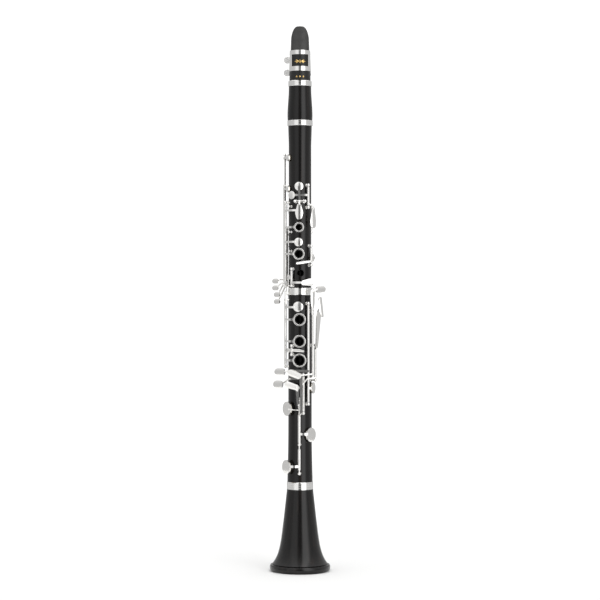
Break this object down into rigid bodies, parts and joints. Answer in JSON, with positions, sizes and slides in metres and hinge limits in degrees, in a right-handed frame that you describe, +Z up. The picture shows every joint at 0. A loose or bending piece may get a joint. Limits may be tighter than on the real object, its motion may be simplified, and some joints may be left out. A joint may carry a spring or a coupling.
{
  "type": "clarinet",
  "caption": "Soprano clarinet in black wood with silver-coloured keywork, a cane reed and ligature, standing on its bell; keys, rings and levers turn on their hinges.",
  "frame": {"origin": "centre of the circle on which the bell stands", "axes": "+Z up the bore towards the mouthpiece, -Y the front with the finger rings, +X to the side of the left little-finger levers"},
  "size_m": [0.0742, 0.0742, 0.668],
  "materials": {
    "blackwood": "polished",
    "ebonite": "satin",
    "cane": "satin",
    "cork": "matte",
    "pad_skin": "matte",
    "steel": "satin",
    "ligature_silver": "polished",
    "ring_silver": "polished",
    "key_silver": "polished"
  },
  "bodies": {
    "instrument": {"bell": "blackwood", "bell_ring": "ring_silver", "lower_joint_body": "blackwood", "middle_ring": "ring_silver", "upper_joint_body": "blackwood", "tenon_corks": "cork", "hinge_pins": "steel", "needle_springs": "steel", "posts": "key_silver", "register_tube": "key_silver", "thumb_rest_plate": "key_silver"},
    "headpiece": {"barrel": "blackwood", "barrel_rings": "ring_silver", "mouthpiece": "ebonite", "mouthpiece_cork": "cork", "reed": "cane", "ligature": "ligature_silver"},
    "upper_screw": {"ligature_screw_upper": "ligature_silver"},
    "lower_screw": {"ligature_screw_lower": "ligature_silver"},
    "thumb_rest": {"thumb_rest": "key_silver"},
    "a_key": {"a_key": "key_silver", "a_pad": "pad_skin"},
    "g_sharp_key": {"g_sharp_key": "key_silver", "g_sharp_pad": "pad_skin"},
    "first_ring_key": {"first_ring_key": "key_silver", "first_ring_pad": "pad_skin"},
    "bridge_key": {"bridge_key": "key_silver", "bridge_pad": "pad_skin"},
    "thumb_key": {"thumb_key": "key_silver", "thumb_pad": "pad_skin"},
    "c_sharp_key": {"c_sharp_key": "key_silver", "c_sharp_pad": "pad_skin"},
    "e_flat_key": {"e_flat_key": "key_silver", "e_flat_pad": "pad_skin"},
    "register_key": {"register_key": "key_silver", "register_pad": "pad_skin"},
    "side_key_1": {"side_key_1": "key_silver", "side_pad_1": "pad_skin"},
    "side_key_2": {"side_key_2": "key_silver", "side_pad_2": "pad_skin"},
    "side_key_3": {"side_key_3": "key_silver", "side_pad_3": "pad_skin"},
    "side_key_4": {"side_key_4": "key_silver", "side_pad_4": "pad_skin"},
    "ring_key": {"ring_key": "key_silver", "ring_pad": "pad_skin"},
    "sliver_key": {"sliver_key": "key_silver", "sliver_pad": "pad_skin"},
    "a_flat_key": {"a_flat_key": "key_silver", "a_flat_pad": "pad_skin"},
    "f_key": {"f_key": "key_silver", "f_pad": "pad_skin"},
    "f_sharp_key": {"f_sharp_key": "key_silver", "f_sharp_pad": "pad_skin"},
    "e_key": {"e_key": "key_silver", "e_pad": "pad_skin"},
    "left_f_sharp_lever": {"left_f_sharp_lever": "key_silver"},
    "left_e_lever": {"left_e_lever": "key_silver"}
  },
  "joints": [
    {"name": "tuning_slide", "type": "slide", "parent": "instrument", "child": "headpiece", "axis": [0, 0, 1], "range_m": [0, 0.003]},
    {"name": "upper_screw_turn", "type": "hinge", "parent": "headpiece", "child": "upper_screw", "pos_m": [0, 0.0158, 0.6272], "axis": [1, 0, 0], "continuous": true},
    {"name": "lower_screw_turn", "type": "hinge", "parent": "headpiece", "child": "lower_screw", "pos_m": [0, 0.0158, 0.6116], "axis": [1, 0, 0], "continuous": true},
    {"name": "thumb_rest_slide", "type": "slide", "parent": "instrument", "child": "thumb_rest", "axis": [0, 0, 1], "range_m": [-0.005, 0.005]},
    {"name": "a_key_hinge", "type": "hinge", "parent": "instrument", "child": "a_key", "pos_m": [0, -0.0176, 0.4515], "axis": [1, 0, 0], "range_deg": [0, 5], "stiffness_Nm_per_rad": 0.02},
    {"name": "g_sharp_key_hinge", "type": "hinge", "parent": "instrument", "child": "g_sharp_key", "pos_m": [0.01021, -0.01458, 0.4577], "axis": [0, 0, 1], "range_deg": [0, 5], "stiffness_Nm_per_rad": 0.02},
    {"name": "first_ring_key_hinge", "type": "hinge", "parent": "instrument", "child": "first_ring_key", "pos_m": [-0.01793, -0.00414, 0.43], "axis": [0, 0, 1], "range_deg": [0, 3.4], "stiffness_Nm_per_rad": 0.02},
    {"name": "bridge_key_hinge", "type": "hinge", "parent": "instrument", "child": "bridge_key", "pos_m": [-0.01793, -0.00414, 0.381], "axis": [0, 0, 1], "range_deg": [0, 3.4], "stiffness_Nm_per_rad": 0.02},
    {"name": "thumb_key_hinge", "type": "hinge", "parent": "instrument", "child": "thumb_key", "pos_m": [0.01379, 0.01157, 0.43], "axis": [0, 0, 1], "range_deg": [0, 4], "stiffness_Nm_per_rad": 0.02},
    {"name": "c_sharp_key_hinge", "type": "hinge", "parent": "instrument", "child": "c_sharp_key", "pos_m": [-0.01035, -0.01424, 0.359], "axis": [0, 0, 1], "range_deg": [0, 7], "stiffness_Nm_per_rad": 0.02},
    {"name": "e_flat_key_hinge", "type": "hinge", "parent": "instrument", "child": "e_flat_key", "pos_m": [0.01364, -0.01144, 0.3857], "axis": [0, 0, 1], "range_deg": [-7, 0], "stiffness_Nm_per_rad": 0.02},
    {"name": "register_key_hinge", "type": "hinge", "parent": "instrument", "child": "register_key", "pos_m": [0, 0.0176, 0.468], "axis": [1, 0, 0], "range_deg": [-4, 0], "stiffness_Nm_per_rad": 0.02},
    {"name": "side_key_1_hinge", "type": "hinge", "parent": "instrument", "child": "side_key_1", "pos_m": [-0.01844, 0.00635, 0.43], "axis": [0, 0, 1], "range_deg": [-7, 0], "stiffness_Nm_per_rad": 0.02},
    {"name": "side_key_2_hinge", "type": "hinge", "parent": "instrument", "child": "side_key_2", "pos_m": [-0.01935, 0.00238, 0.41], "axis": [0, 0, 1], "range_deg": [-7, 0], "stiffness_Nm_per_rad": 0.02},
    {"name": "side_key_3_hinge", "type": "hinge", "parent": "instrument", "child": "side_key_3", "pos_m": [-0.01575, 0.01062, 0.384], "axis": [0, 0, 1], "range_deg": [0, 6], "stiffness_Nm_per_rad": 0.02},
    {"name": "side_key_4_hinge", "type": "hinge", "parent": "instrument", "child": "side_key_4", "pos_m": [-0.01214, 0.01396, 0.368], "axis": [0, 0, 1], "range_deg": [0, 6], "stiffness_Nm_per_rad": 0.02},
    {"name": "ring_key_hinge", "type": "hinge", "parent": "instrument", "child": "ring_key", "pos_m": [-0.01793, -0.00414, 0.291], "axis": [0, 0, 1], "range_deg": [0, 3.4], "stiffness_Nm_per_rad": 0.02},
    {"name": "sliver_key_hinge", "type": "hinge", "parent": "instrument", "child": "sliver_key", "pos_m": [-0.01029, -0.01525, 0.2704], "axis": [0, 0, 1], "range_deg": [0, 7], "stiffness_Nm_per_rad": 0.02},
    {"name": "a_flat_key_hinge", "type": "hinge", "parent": "instrument", "child": "a_flat_key", "pos_m": [0.01021, -0.01531, 0.266], "axis": [0, 0, 1], "range_deg": [-7, 0], "stiffness_Nm_per_rad": 0.03},
    {"name": "f_key_hinge", "type": "hinge", "parent": "instrument", "child": "f_key", "pos_m": [0.00419, -0.0173, 0.217], "axis": [0, 0, 1], "range_deg": [-5, 0], "stiffness_Nm_per_rad": 0.03},
    {"name": "f_sharp_key_hinge", "type": "hinge", "parent": "instrument", "child": "f_sharp_key", "pos_m": [-0.00083, -0.01838, 0.1748], "axis": [0, 0, 1], "range_deg": [-4.8, 0], "stiffness_Nm_per_rad": 0.03},
    {"name": "e_key_hinge", "type": "hinge", "parent": "instrument", "child": "e_key", "pos_m": [-0.00083, -0.01838, 0.165], "axis": [0, 0, 1], "range_deg": [-5.3, 0], "stiffness_Nm_per_rad": 0.03},
    {"name": "left_f_sharp_lever_hinge", "type": "hinge", "parent": "instrument", "child": "left_f_sharp_lever", "pos_m": [0.01554, -0.01259, 0.278], "axis": [0, 0, 1], "range_deg": [0, 5.2], "stiffness_Nm_per_rad": 0.01},
    {"name": "left_e_lever_hinge", "type": "hinge", "parent": "instrument", "child": "left_e_lever", "pos_m": [0.01887, -0.00921, 0.2549], "axis": [0, 0, 1], "range_deg": [0, 5.2], "stiffness_Nm_per_rad": 0.01}
  ],
  "couplings": [
    {"joint": "bridge_key_hinge", "follows": "ring_key_hinge", "ratio": 1},
    {"joint": "left_f_sharp_lever_hinge", "follows": "f_sharp_key_hinge", "ratio": -1.06},
    {"joint": "left_e_lever_hinge", "follows": "e_key_hinge", "ratio": -0.95}
  ]
}
